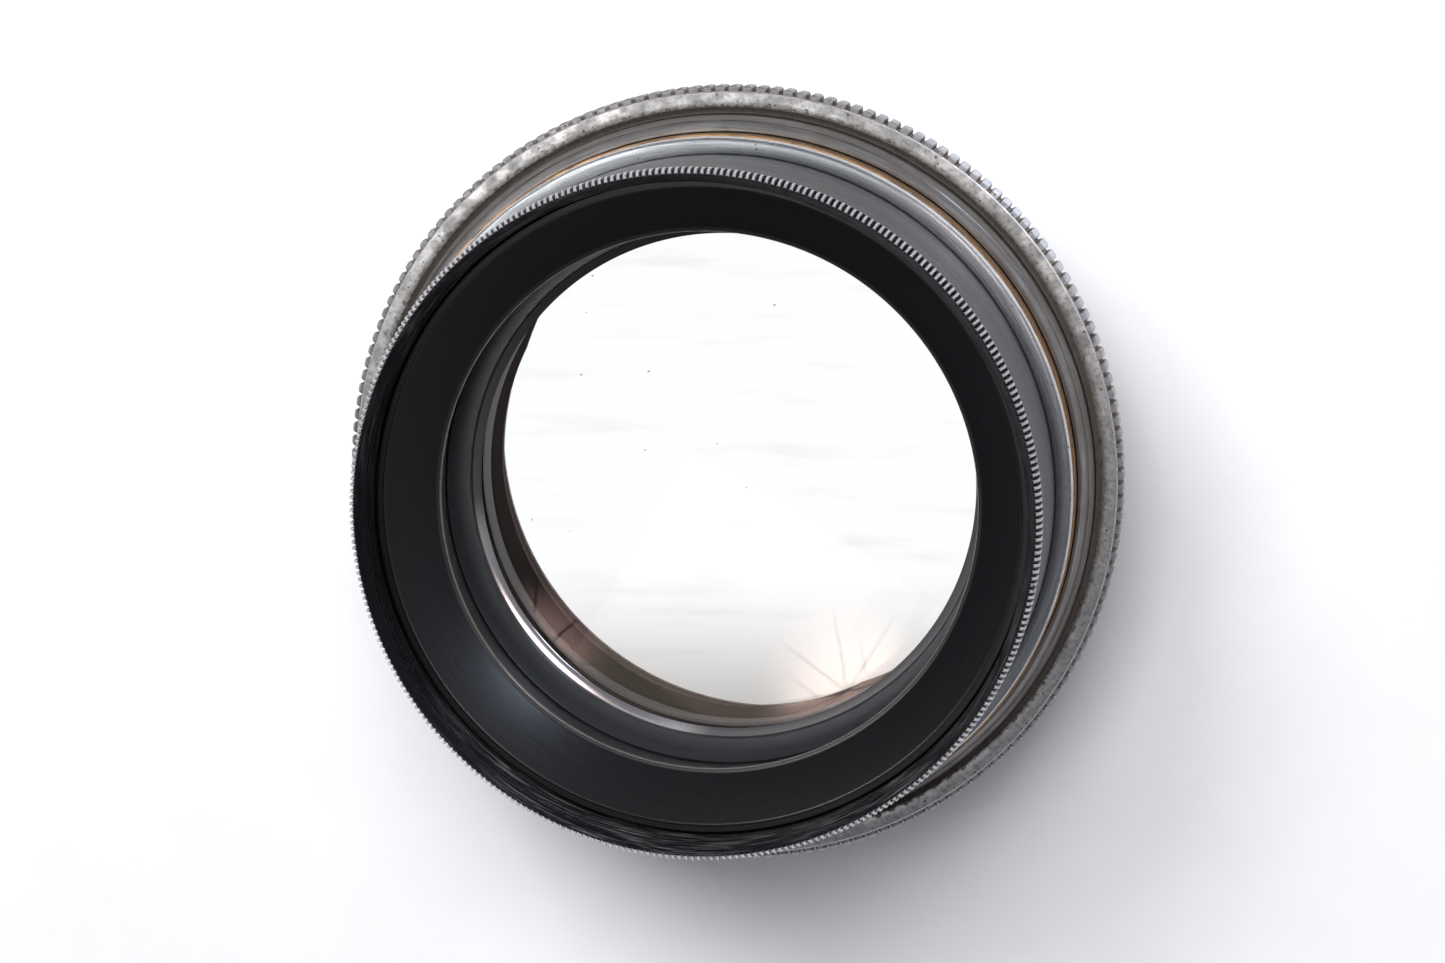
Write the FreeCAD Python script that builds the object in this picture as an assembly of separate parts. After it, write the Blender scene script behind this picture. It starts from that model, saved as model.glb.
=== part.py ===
"""Barlow lens head with a knurled focusing ring and a 2-inch nosepiece.

A weak negative doublet sits in a black cell inside a satin barrel.  The barrel carries a brass
helicoid sleeve.  Turning the knurled ring drives that sleeve, and the whole lens head, along the
optical axis; two keys on the fixed base stop it turning.  The black front ring unscrews to free
the lens cell.  The base ends in a 2-inch push-fit nosepiece.

Frame: millimetres, +Z along the optical axis towards the black front ring, origin at the centre of
the nosepiece's end face, so the part stands on its nosepiece.
"""

import FreeCAD
import Part
import math
import os

from FreeCAD import Vector

AXIS = Vector(0, 0, 1)
CENTRE = Vector(0, 0, 0)

# Running and assembly gaps
RUNNING_GAP = 0.10          # gap of a sliding or turning fit
THREAD_GAP = 0.05           # radial gap of a screwed joint, drawn as plain cylinders
EDGE_BREAK = 0.20           # small chamfer on turned edges

# Nosepiece: a tube of the 2-inch standard outside size, with a 1 mm wall
NOSE_R = 25.40
NOSE_BORE_R = 24.40
NOSE_LENGTH = 15.60         # from the end face to the shoulder of the base
NOSE_EDGE = 0.30
NOSE_SPIGOT_R = 25.00
NOSE_SPIGOT_TOP = 17.80

# Base flange, its rim and the hub that guides the barrel
BASE_COLLAR_R = 27.60
RIM_R = 29.60
RIM_Z = (18.20, 19.60)
HUB_R = 24.80
HUB_BORE_R = 23.50
HUB_TOP = 28.90
BASE_BORE_TOP = 18.00

# Focusing ring group
GRIP_R = 31.50              # over the tips of the milled grip
GRIP_Z = (20.60, 23.90)
SKIRT_R = 30.40
SKIRT_BOTTOM = 16.60
DISH_R = 29.70              # the front face falls from the grip to here, then to the helicoid
DISH_Z = 23.20
DISH_BOTTOM_Z = 22.70
HELICOID_BORE_R = 28.10
HELICOID_OUTER_R = 29.25
HELICOID_Z = (20.00, 26.45)
HELICOID_SHOULDER_Z = 24.80
WASHER_THICKNESS = 0.30
RETAINER_Z = (16.80, 18.00)

# Travel: the ring turns 60 degrees each way and the helicoid's lead is 12 mm per turn
TURN_MIN_DEG = -60.0
TURN_MAX_DEG = 60.0
STOP_SCREW_DEG = 195.0
STOP_SCREW_R = 0.60
STOP_RECESS_R = 28.70
STOP_SCREW_Z = sum(RIM_Z) / 2
STOP_MARGIN_DEG = 2.4
LOCK_SCREW_DEG = 232.0
LOCK_SCREW_R = 0.70
LOCK_SCREW_Z = 22.10

# Lens head
SLEEVE_R = 28.00
SLEEVE_Z = (22.00, 28.80)
COLLAR_R = 27.90
COLLAR_TOP = 29.50
BARREL_R = 26.50
BARREL_LOWER_R = 26.40
BARREL_BORE_R = 24.90
BARREL_Z = (22.00, 42.10)
BARREL_LEDGE_Z = (31.90, 33.40)
BARREL_LEDGE_R = 23.30
BARREL_MOUTH_R = 26.00
CLAMP_Z = 35.40             # where the front ring clamps the lens cell

# Black front ring and the dished mask inside it
FRONT_TIP_R = 26.60         # over the tips of the fine straight knurl
FRONT_BAND_Z = (42.20, 43.90)
FRONT_SPIGOT_R = 25.95
FRONT_THREAD_R = 25.50
FRONT_THREAD_Z = (39.80, 42.80)
FRONT_RELIEF_R = 25.75      # a tapered seat below the thread centres the mask
FRONT_SEAT_R = 25.50
FRONT_LIP_R = 26.05
MASK_LEDGE_Z = 36.40
MASK_LEDGE_R = 24.20
MASK_RIM_Z = 39.40
MASK_OPENING_R = 21.10
MASK_OPENING_Z = 35.90

# Lens cell and glass
CELL_R = 23.20
CELL_BOTTOM = 18.30
CELL_FLANGE_R = 24.85
CELL_BORE_R = 22.20
GLASS_R = 21.60
GLASS_CLEAR_R = 20.90       # radius where the polished surfaces end
SEAT_R = 21.00
SEAT_Z = 21.20
FLINT_EDGE = 1.90
FOIL_THICKNESS = 0.25
CROWN_EDGE = 2.55
FRONT_SURFACE_R = 70.0      # radii of curvature, all bowed towards the nosepiece
INNER_SURFACE_R = 80.0
REAR_SURFACE_R = 85.0
GLASS_TOP_Z = SEAT_Z + FLINT_EDGE + FOIL_THICKNESS + CROWN_EDGE
LENS_RING_HEIGHT = 2.00     # at its bore; its face rises outwards to the wall of the cell
LENS_RING_WALL_HEIGHT = 3.70
LENS_RING_BORE_R = 20.70

# Keys, screws and the light baffle
KEY_WIDTH = 3.00
KEY_Z = (24.40, 28.40)
KEY_R = (24.30, 25.50)
KEY_SLOT_R = 25.70
KEY_SLOT_TOP = 31.60
KEY_ANGLES_DEG = (0.0, 180.0)
KEY_SCREW_R = 0.60
BAFFLE_R = 22.60
BAFFLE_Z = (7.00, 9.00)
THREAD_PITCH = 0.75


def turned(outline):
    """Revolves a closed (radius, height) outline about Z.

    An item is a point (r, z), reached by a straight line, or a pair of points, an arc's middle
    and end.
    """
    edges = []
    start = Vector(outline[0][0], 0, outline[0][1])
    here = start
    for item in outline[1:] + [outline[0]]:
        if isinstance(item[0], tuple):
            middle, end = (Vector(p[0], 0, p[1]) for p in item)
            edges.append(Part.Arc(here, middle, end).toShape())
        else:
            end = Vector(item[0], 0, item[1])
            edges.append(Part.LineSegment(here, end).toShape())
        here = end
    face = Part.Face(Part.Wire(edges))
    return face.revolve(CENTRE, AXIS, 360)


def ring(inner, outer, bottom, top):
    """A plain ring."""
    return turned([(inner, bottom), (outer, bottom), (outer, top), (inner, top)])


def thread_points(crest_r, root_r, bottom, top):
    """Points up a screw thread that is drawn as rings: flat crests with V grooves between."""
    turns = round((top - bottom) / THREAD_PITCH)
    land = 0.35 * THREAD_PITCH
    points = []
    for turn in range(turns):
        base = bottom + turn * THREAD_PITCH
        points += [(crest_r, base), (crest_r, base + land)]
        points.append((root_r, base + (land + THREAD_PITCH) / 2))
    return points + [(crest_r, top), (crest_r, top + land)]


def sag(curvature_r, radius):
    """Depth of a spherical surface at a given distance from the axis."""
    return curvature_r - math.sqrt(curvature_r ** 2 - radius ** 2)


def bowl_arc(curvature_r, edge_z, outwards):
    """Arc of a surface bowed downwards, between the axis and the clear radius at edge_z."""
    vertex_z = edge_z - sag(curvature_r, GLASS_CLEAR_R)
    middle_r = GLASS_CLEAR_R / 2
    middle = (middle_r, vertex_z + sag(curvature_r, middle_r))
    end = (GLASS_CLEAR_R, edge_z) if outwards else (0, vertex_z)
    return (middle, end)


def bowl_lens(bottom_r, bottom_edge_z, top_r, top_edge_z):
    """A lens between two surfaces that both bow downwards, with a flat rim and bevelled edges."""
    bevel = EDGE_BREAK / 2
    vertex_z = bottom_edge_z - sag(bottom_r, GLASS_CLEAR_R)
    return turned([
        (0, vertex_z),
        bowl_arc(bottom_r, bottom_edge_z, outwards=True),
        (GLASS_R - bevel, bottom_edge_z),
        (GLASS_R, bottom_edge_z + bevel),
        (GLASS_R, top_edge_z - bevel),
        (GLASS_R - bevel, top_edge_z),
        (GLASS_CLEAR_R, top_edge_z),
        bowl_arc(top_r, top_edge_z, outwards=False),
    ])


def radial(shape, angle_deg):
    """Turns a shape made along +X to its place round the axis."""
    turned_shape = shape.copy()
    turned_shape.rotate(CENTRE, AXIS, angle_deg)
    return turned_shape


def grub_screw(radius, inner, outer, height):
    """A slotted headless screw that lies along +X at the given height."""
    body = Part.makeCylinder(radius, outer - inner, Vector(inner, 0, height), Vector(1, 0, 0))
    slot_depth = radius * 0.7
    slot_width = radius * 0.45
    slot = Part.makeBox(slot_depth, slot_width, 3 * radius)
    slot.translate(Vector(outer - slot_depth, -slot_width / 2, height - 1.5 * radius))
    return body.cut(slot)


def sector_cut(inner, outer, bottom, top, start_deg, end_deg):
    """A part-ring used to cut an arc-shaped recess."""
    corners = [Vector(r, 0, z) for r, z in
               ((inner, bottom), (outer, bottom), (outer, top), (inner, top), (inner, bottom))]
    sector = Part.Face(Part.makePolygon(corners)).revolve(CENTRE, AXIS, end_deg - start_deg)
    return radial(sector, start_deg)


def nosepiece():
    """Push-fit tube with a screwed spigot at its top."""
    return turned([
        (NOSE_BORE_R + EDGE_BREAK, 0),
        (NOSE_R - NOSE_EDGE, 0),
        (NOSE_R, NOSE_EDGE),
        (NOSE_R, NOSE_LENGTH),
        (NOSE_SPIGOT_R, NOSE_LENGTH),
        (NOSE_SPIGOT_R, NOSE_SPIGOT_TOP - EDGE_BREAK),
        (NOSE_SPIGOT_R - EDGE_BREAK, NOSE_SPIGOT_TOP),
        (NOSE_BORE_R, NOSE_SPIGOT_TOP),
        (NOSE_BORE_R, EDGE_BREAK),
    ])


def nosepiece_baffle():
    """Knife-edged light baffle pressed into the nosepiece."""
    low, high = BAFFLE_Z
    outer = NOSE_BORE_R - THREAD_GAP
    edge_z = (low + high) / 2
    return turned([
        (outer, low),
        (outer, high),
        (outer - 0.50, high),
        (BAFFLE_R, edge_z + 0.10),
        (BAFFLE_R, edge_z - 0.10),
        (outer - 0.50, low),
    ])


def base_flange():
    """Shoulder, captive rim and guiding hub in one turning, with the arc that stops the ring."""
    rim_low, rim_high = RIM_Z
    bore = NOSE_SPIGOT_R + THREAD_GAP
    body = turned([
        (bore, NOSE_LENGTH),
        (BASE_COLLAR_R - EDGE_BREAK, NOSE_LENGTH),
        (BASE_COLLAR_R, NOSE_LENGTH + EDGE_BREAK),
        (BASE_COLLAR_R, rim_low),
        (RIM_R - EDGE_BREAK, rim_low),
        (RIM_R, rim_low + EDGE_BREAK),
        (RIM_R, rim_high - EDGE_BREAK),
        (RIM_R - EDGE_BREAK, rim_high),
        (HUB_R, rim_high),
        (HUB_R, HUB_TOP - EDGE_BREAK),
        (HUB_R - EDGE_BREAK, HUB_TOP),
        (HUB_BORE_R, HUB_TOP),
        (HUB_BORE_R, BASE_BORE_TOP),
        (bore, BASE_BORE_TOP),
    ])
    recess = sector_cut(STOP_RECESS_R, RIM_R + 1, rim_low - 0.1, rim_high + 0.1,
                        STOP_SCREW_DEG + TURN_MIN_DEG - STOP_MARGIN_DEG,
                        STOP_SCREW_DEG + TURN_MAX_DEG + STOP_MARGIN_DEG)
    body = body.cut(recess)
    key_low, key_high = KEY_Z
    pocket = Part.makeBox(2, KEY_WIDTH, key_high - key_low)
    pocket.translate(Vector(KEY_R[0], -KEY_WIDTH / 2, key_low))
    hole_depth = HUB_R - HUB_BORE_R + 1
    hole = Part.makeCylinder(KEY_SCREW_R, hole_depth, Vector(HUB_BORE_R - 0.5, 0, sum(KEY_Z) / 2),
                             Vector(1, 0, 0))
    for angle in KEY_ANGLES_DEG:
        body = body.cut(radial(pocket, angle)).cut(radial(hole, angle))
    return body


def guide_keys():
    """Two keys let into the hub; they slide in slots inside the barrel."""
    low, high = KEY_Z
    inner, outer = KEY_R
    key = Part.makeBox(outer - inner, KEY_WIDTH, high - low)
    key.translate(Vector(inner, -KEY_WIDTH / 2, low))
    hole = Part.makeCylinder(KEY_SCREW_R, 3, Vector(inner - 1, 0, (low + high) / 2), Vector(1, 0, 0))
    key = key.cut(hole)
    return Part.makeCompound([radial(key, angle) for angle in KEY_ANGLES_DEG])


def key_screws():
    """Headless screws that hold the keys."""
    screw = grub_screw(KEY_SCREW_R, HUB_BORE_R + 0.05, KEY_R[1] - 0.10, sum(KEY_Z) / 2)
    return Part.makeCompound([radial(screw, angle) for angle in KEY_ANGLES_DEG])


def thrust_washer():
    """Thin bronze washer that the helicoid ring turns on."""
    return ring(HELICOID_BORE_R + 0.20, RIM_R - EDGE_BREAK, RIM_Z[1], RIM_Z[1] + WASHER_THICKNESS)


def screw_hole(radius, inner, outer, height, angle_deg):
    """A radial hole for a grub screw."""
    hole = Part.makeCylinder(radius, outer - inner, Vector(inner, 0, height), Vector(1, 0, 0))
    return radial(hole, angle_deg)


def knurled_ring():
    """Outer grip ring: a milled band, a dished front face and a skirt round the base's rim."""
    grip_low, grip_high = GRIP_Z
    skirt_bore = RIM_R + RUNNING_GAP
    bore = HELICOID_OUTER_R + THREAD_GAP
    body = turned([
        (skirt_bore, SKIRT_BOTTOM),
        (SKIRT_R - EDGE_BREAK, SKIRT_BOTTOM),
        (SKIRT_R, SKIRT_BOTTOM + EDGE_BREAK),
        (SKIRT_R, grip_low),
        (GRIP_R - 0.40, grip_low),
        (GRIP_R, grip_low + 0.40),
        (GRIP_R, grip_high - 0.40),
        (GRIP_R - 0.50, grip_high),
        (DISH_R, DISH_Z),
        (bore, DISH_BOTTOM_Z),
        (bore, HELICOID_Z[0]),
        (skirt_bore, HELICOID_Z[0]),
    ])
    lock_hole = screw_hole(LOCK_SCREW_R, bore - 1, GRIP_R + 1, LOCK_SCREW_Z, LOCK_SCREW_DEG)
    stop_hole = screw_hole(STOP_SCREW_R, skirt_bore - 1, SKIRT_R + 1, STOP_SCREW_Z, STOP_SCREW_DEG)
    return body.cut(lock_hole).cut(stop_hole)


def helicoid_ring():
    """Inner ring with the female helicoid thread; its chamfer shows inside the grip."""
    low, high = HELICOID_Z
    bore = thread_points(HELICOID_BORE_R, HELICOID_BORE_R + 0.25, low + 0.30, high - 0.65)
    body = turned([
        (HELICOID_BORE_R, low),
        (HELICOID_OUTER_R - EDGE_BREAK, low),
        (HELICOID_OUTER_R, low + EDGE_BREAK),
        (HELICOID_OUTER_R, HELICOID_SHOULDER_Z),
        (HELICOID_BORE_R + 0.20, high),
        (HELICOID_BORE_R, high),
    ] + bore[::-1])
    spot = screw_hole(LOCK_SCREW_R, HELICOID_OUTER_R - 0.45, GRIP_R, LOCK_SCREW_Z, LOCK_SCREW_DEG)
    return body.cut(spot)


def ring_lock_screw():
    """Grub screw that locks the grip ring to the helicoid ring."""
    screw = grub_screw(LOCK_SCREW_R, HELICOID_OUTER_R - 0.40, GRIP_R - 0.60, LOCK_SCREW_Z)
    return radial(screw, LOCK_SCREW_DEG)


def stop_screw():
    """Grub screw in the skirt whose tip runs in the rim's recess and ends the travel."""
    screw = grub_screw(STOP_SCREW_R, STOP_RECESS_R + 0.25, SKIRT_R - 0.05, STOP_SCREW_Z)
    return radial(screw, STOP_SCREW_DEG)


def retaining_ring():
    """Screwed ring under the rim that keeps the focusing ring on the base."""
    low, high = RETAINER_Z
    outer = RIM_R + RUNNING_GAP - THREAD_GAP
    inner = BASE_COLLAR_R + 0.40
    body = turned([
        (inner, low),
        (outer - EDGE_BREAK, low),
        (outer, low + EDGE_BREAK),
        (outer, high),
        (inner, high),
    ])
    middle = (inner + outer) / 2
    for angle in (45, 225):
        hole = Part.makeCylinder(0.45, 0.80, Vector(middle, 0, low))
        body = body.cut(radial(hole, angle))
    return body


def brass_sleeve():
    """Male half of the helicoid; its plain top shows as a brass band under the collar."""
    low, high = SLEEVE_Z
    inner = BARREL_LOWER_R + THREAD_GAP
    outside = thread_points(SLEEVE_R, SLEEVE_R - 0.25, low + 0.30, low + 3.30)
    return turned([
        (inner, low),
        (SLEEVE_R - 0.20, low),
    ] + outside + [
        (SLEEVE_R, high),
        (inner, high),
    ])


def collar():
    """Bright ring that closes the sleeve's top: a flat face, a fine line and a bevel."""
    low = SLEEVE_Z[1]
    inner = BARREL_R + THREAD_GAP
    return turned([
        (inner, low),
        (COLLAR_R - 0.05, low),
        (COLLAR_R, low + 0.10),
        (COLLAR_R - 0.35, COLLAR_TOP - 0.05),
        (COLLAR_R - 0.40, COLLAR_TOP),
        (COLLAR_R - 0.48, COLLAR_TOP),
        (COLLAR_R - 0.52, COLLAR_TOP - 0.08),
        (COLLAR_R - 0.56, COLLAR_TOP),
        (inner, COLLAR_TOP),
    ])


def barrel():
    """Satin tube between the focusing ring and the black front ring."""
    low, high = BARREL_Z
    ledge_low, ledge_high = BARREL_LEDGE_Z
    body = turned([
        (BARREL_BORE_R, low),
        (BARREL_LOWER_R - EDGE_BREAK, low),
        (BARREL_LOWER_R, low + EDGE_BREAK),
        (BARREL_LOWER_R, SLEEVE_Z[1]),
        (BARREL_R, SLEEVE_Z[1]),
        (BARREL_R, high - EDGE_BREAK),
        (BARREL_R - EDGE_BREAK, high),
        (BARREL_MOUTH_R, high),
        (BARREL_MOUTH_R, CLAMP_Z),
        (BARREL_BORE_R, CLAMP_Z),
        (BARREL_BORE_R, ledge_high),
        (BARREL_LEDGE_R, ledge_high),
        (BARREL_LEDGE_R, ledge_low),
        (BARREL_BORE_R, ledge_low),
    ])
    slot_width = KEY_WIDTH + 2 * RUNNING_GAP
    slot = Part.makeBox(KEY_SLOT_R - BARREL_BORE_R + 1, slot_width, KEY_SLOT_TOP - low + 1)
    slot.translate(Vector(BARREL_BORE_R - 1, -slot_width / 2, low - 1))
    for angle in KEY_ANGLES_DEG:
        body = body.cut(radial(slot, angle))
    return body


def front_ring():
    """Black ring that screws into the barrel: knurled band outside, female thread inside."""
    band_low, band_high = FRONT_BAND_Z
    thread = thread_points(FRONT_THREAD_R, FRONT_THREAD_R + 0.22, *FRONT_THREAD_Z)
    return turned([
        (MASK_LEDGE_R, CLAMP_Z),
        (FRONT_SPIGOT_R - EDGE_BREAK, CLAMP_Z),
        (FRONT_SPIGOT_R, CLAMP_Z + EDGE_BREAK),
        (FRONT_SPIGOT_R, band_low),
        (FRONT_TIP_R - 0.25, band_low),
        (FRONT_TIP_R, band_low + 0.20),
        (FRONT_TIP_R, band_high - 0.40),
        (FRONT_TIP_R - 0.35, band_high),
        (FRONT_LIP_R, band_high),
    ] + thread[::-1] + [
        (FRONT_RELIEF_R, FRONT_THREAD_Z[0]),
        (FRONT_SEAT_R, MASK_LEDGE_Z),
        (MASK_LEDGE_R, MASK_LEDGE_Z),
    ])


def dished_mask():
    """Black dished ring that frames the glass; a fine groove runs round its rim."""
    outer = FRONT_THREAD_R - THREAD_GAP
    return turned([
        (outer, MASK_LEDGE_Z),
        (outer, MASK_RIM_Z - 0.12),
        (outer - 0.12, MASK_RIM_Z),
        (outer - 0.42, MASK_RIM_Z),
        (outer - 0.50, MASK_RIM_Z - 0.25),
        (outer - 0.66, MASK_RIM_Z - 0.25),
        (outer - 0.72, MASK_RIM_Z - 0.12),
        (MASK_OPENING_R + 0.12, MASK_OPENING_Z + 0.10),
        (MASK_OPENING_R, MASK_OPENING_Z),
        (MASK_OPENING_R, MASK_OPENING_Z - 0.18),
        (MASK_OPENING_R + 0.60, MASK_OPENING_Z - 0.25),
        (MASK_LEDGE_R - 0.10, MASK_LEDGE_Z),
    ])


def lens_cell():
    """Black cell: a flange clamped in the barrel, a tube, and the seat for the glass."""
    bore_step = GLASS_TOP_Z - EDGE_BREAK
    return turned([
        (SEAT_R + 0.60, CELL_BOTTOM),
        (CELL_R - 0.30, CELL_BOTTOM),
        (CELL_R, CELL_BOTTOM + 0.30),
        (CELL_R, BARREL_LEDGE_Z[1]),
        (CELL_FLANGE_R, BARREL_LEDGE_Z[1]),
        (CELL_FLANGE_R, CLAMP_Z),
        (CELL_BORE_R + 0.30, CLAMP_Z),
        (CELL_BORE_R, CLAMP_Z - 0.30),
        (CELL_BORE_R, bore_step),
        (GLASS_R + THREAD_GAP, bore_step),
        (GLASS_R + THREAD_GAP, SEAT_Z),
        (SEAT_R, SEAT_Z),
        (SEAT_R, CELL_BOTTOM + 0.90),
    ])


def flint_lens():
    """Rear element of the doublet, resting on the seat."""
    return bowl_lens(REAR_SURFACE_R, SEAT_Z, INNER_SURFACE_R, SEAT_Z + FLINT_EDGE)


def crown_lens():
    """Front element of the doublet."""
    return bowl_lens(INNER_SURFACE_R, GLASS_TOP_Z - CROWN_EDGE, FRONT_SURFACE_R, GLASS_TOP_Z)


def foil_spacers():
    """Three foil tabs that hold the air gap between the two elements."""
    bottom = SEAT_Z + FLINT_EDGE
    tab = sector_cut(GLASS_CLEAR_R + 0.05, GLASS_R - 0.15, bottom, bottom + FOIL_THICKNESS, -4, 4)
    return Part.makeCompound([radial(tab, angle) for angle in (80, 200, 320)])


def lens_retainer():
    """Screwed ring that holds the glass down, with two spanner slots."""
    bottom = GLASS_TOP_Z
    top = bottom + LENS_RING_HEIGHT
    wall_top = bottom + LENS_RING_WALL_HEIGHT
    outer = CELL_BORE_R - THREAD_GAP
    body = turned([
        (LENS_RING_BORE_R + 0.30, bottom),
        (GLASS_R - 0.10, bottom),
        (outer, bottom + 0.40),
        (outer, wall_top - 0.10),
        (outer - 0.10, wall_top),
        (LENS_RING_BORE_R + 0.20, top),
        (LENS_RING_BORE_R, top - 0.10),
        (LENS_RING_BORE_R, bottom + 0.30),
    ])
    slot = Part.makeBox(2, 1.0, 3.0)
    slot.translate(Vector(LENS_RING_BORE_R + 0.85, -0.5, top))
    for angle in (135, 315):
        body = body.cut(radial(slot, angle))
    return body


PARTS = (
    nosepiece, nosepiece_baffle, base_flange, guide_keys, key_screws, thrust_washer,
    knurled_ring, helicoid_ring, retaining_ring, ring_lock_screw, stop_screw,
    brass_sleeve, collar, barrel, front_ring, dished_mask,
    lens_cell, lens_retainer, crown_lens, flint_lens, foil_spacers,
)


def main():
    os.makedirs("parts", exist_ok=True)
    for make in PARTS:
        shape = make()
        name = make.__name__
        volume = sum(solid.Volume for solid in shape.Solids)
        print(f"{name:18s} solids {len(shape.Solids)} valid {shape.isValid()} "
              f"volume {volume:9.2f} mm3")
        shape.exportStep(os.path.join("parts", name + ".step"))


main()
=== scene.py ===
# %% [markdown]
# # A Barlow lens head on a pale table
#
# The object is a stack of turned metal rings round a pair of lenses.  Every metal piece began as
# a bar in a lathe, so nearly every shape here is a profile swept once round one axis.  The
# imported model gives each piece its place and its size; this file gives each one the fine shape
# and the finish that the lathe, the knurling wheel, the plating bath and years of use left on it.
#
# The steps are: the frame, the tools for making things, the camera, the pieces from the outside
# in, the finishes, and the table and lights.

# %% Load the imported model
import math

import bpy
from mathutils import Matrix, Vector


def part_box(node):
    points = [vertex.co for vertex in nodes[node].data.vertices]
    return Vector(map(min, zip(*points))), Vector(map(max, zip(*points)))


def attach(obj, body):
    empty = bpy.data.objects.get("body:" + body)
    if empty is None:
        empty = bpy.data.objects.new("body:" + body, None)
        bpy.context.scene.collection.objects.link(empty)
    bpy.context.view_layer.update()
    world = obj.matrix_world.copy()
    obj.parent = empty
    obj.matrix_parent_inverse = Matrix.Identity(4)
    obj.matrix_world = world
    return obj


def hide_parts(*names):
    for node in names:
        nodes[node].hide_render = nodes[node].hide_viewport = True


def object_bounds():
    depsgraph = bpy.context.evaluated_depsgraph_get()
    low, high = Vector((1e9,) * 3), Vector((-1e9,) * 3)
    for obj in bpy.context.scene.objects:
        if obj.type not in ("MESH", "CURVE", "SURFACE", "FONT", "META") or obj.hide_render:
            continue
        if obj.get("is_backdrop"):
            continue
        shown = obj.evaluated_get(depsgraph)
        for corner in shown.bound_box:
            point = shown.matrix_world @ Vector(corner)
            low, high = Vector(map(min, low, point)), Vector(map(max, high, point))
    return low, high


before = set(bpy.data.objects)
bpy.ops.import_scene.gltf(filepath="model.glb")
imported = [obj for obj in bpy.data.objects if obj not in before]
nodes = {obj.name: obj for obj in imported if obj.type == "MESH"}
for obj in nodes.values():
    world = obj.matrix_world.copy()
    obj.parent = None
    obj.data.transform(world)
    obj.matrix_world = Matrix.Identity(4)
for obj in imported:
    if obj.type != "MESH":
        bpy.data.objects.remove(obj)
cad_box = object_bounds()
print("the packed model spans", [round(v * 1000, 2) for v in (cad_box[1] - cad_box[0])], "mm")

# %% [markdown]
# Blender works in metres, and a lens is thought of in millimetres.  One constant turns one into
# the other.  The two helpers read a ring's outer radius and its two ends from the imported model,
# so that a piece made here always has the size of the piece that it stands for.

# %% Units and sizes read from the frame
MM = 0.001


def radius_of(node):
    """Outer radius in millimetres of a node centred on the optical axis."""
    low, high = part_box(node)
    return (high.x - low.x) / 2 / MM


def ends_of(node):
    """Lowest and highest point of a node along the optical axis, in millimetres."""
    low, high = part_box(node)
    return low.z / MM, high.z / MM


print("knurled ring radius", round(radius_of("knurled_ring"), 3))

# %% [markdown]
# ## The lathe
#
# A turned piece is a closed outline of (radius, height) points swept round the axis.  By hand,
# the way to draw it is to add a circle, extrude it, and scale or move the new loop to the next
# point of the outline, again and again, until the loop comes back to where it began.  The
# operators below do just that.  Spinning an outline would do too, but extruding loops keeps every
# vertex on an exact circle, which is what bright metal needs: a reflection shows any wobble.
#
# No real edge is a knife, so the outlines have short slanting steps where two faces meet, and
# those narrow facets are what catches the light.

# %% The lathe
ROUND = 360                  # points round a plain ring


def start_edit(obj):
    """Makes one object the only selected one and opens it in edit mode."""
    bpy.ops.object.select_all(action="DESELECT")
    obj.select_set(True)
    bpy.context.view_layer.objects.active = obj
    bpy.ops.object.mode_set(mode="EDIT")


def end_edit():
    bpy.ops.object.mode_set(mode="OBJECT")


def lathe(name, outline, around=ROUND, closed=True):
    """Sweeps a closed (radius, height) outline in millimetres round the optical axis."""
    bpy.ops.object.select_all(action="DESELECT")
    first_r, first_z = outline[0]
    bpy.ops.mesh.primitive_circle_add(vertices=around, radius=first_r * MM,
                                      location=(0, 0, first_z * MM))
    piece = bpy.context.object
    piece.name = name
    bpy.ops.object.transform_apply(location=True, rotation=True, scale=True)
    bpy.ops.object.mode_set(mode="EDIT")
    bpy.ops.mesh.select_mode(type="VERT")
    here_r, here_z = first_r, first_z
    for next_r, next_z in outline[1:] + (outline[:1] if closed else []):
        rise = (next_z - here_z) * MM
        bpy.ops.mesh.extrude_region_move(TRANSFORM_OT_translate={"value": (0, 0, rise)})
        if next_r == 0:
            bpy.ops.mesh.merge(type="CENTER")
        elif next_r != here_r:
            grow = next_r / here_r
            bpy.ops.transform.resize(value=(grow, grow, 1), center_override=(0, 0, next_z * MM))
        here_r, here_z = next_r, next_z
    bpy.ops.mesh.select_all(action="SELECT")
    bpy.ops.mesh.remove_doubles(threshold=0.0005 * MM)
    bpy.ops.mesh.normals_make_consistent(inside=False)
    bpy.ops.object.mode_set(mode="OBJECT")
    return piece


def smooth(piece, angle=32):
    """Shades a piece smooth, apart from edges sharper than the angle."""
    bpy.ops.object.select_all(action="DESELECT")
    piece.select_set(True)
    bpy.context.view_layer.objects.active = piece
    bpy.ops.object.shade_smooth_by_angle(angle=math.radians(angle))


def arc(centre_r, centre_z, radius, start, end, steps):
    """Points of a round stretch of an outline; the angles are in degrees from outwards to up."""
    points = []
    for i in range(steps + 1):
        a = math.radians(start + (end - start) * i / steps)
        points.append((centre_r + radius * math.cos(a), centre_z + radius * math.sin(a)))
    return points


def place_piece(piece, body, slot, *stands_for):
    """Says what a finished piece is: the body it moves with and the nodes it replaces; slot is not used.
    """
    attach(piece, body)
    if stands_for:
        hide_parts(*stands_for)
    print(f"{piece.name}: {len(piece.data.polygons)} faces")


# %% [markdown]
# ## The camera
#
# The lens is looked at almost straight down its axis, tilted by about thirteen degrees, so that
# one side of the barrel shows and the far side of the bore shows through the front opening.  The
# camera looks at the centre of that opening, which lies at the top of the dished mask's bore.

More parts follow.
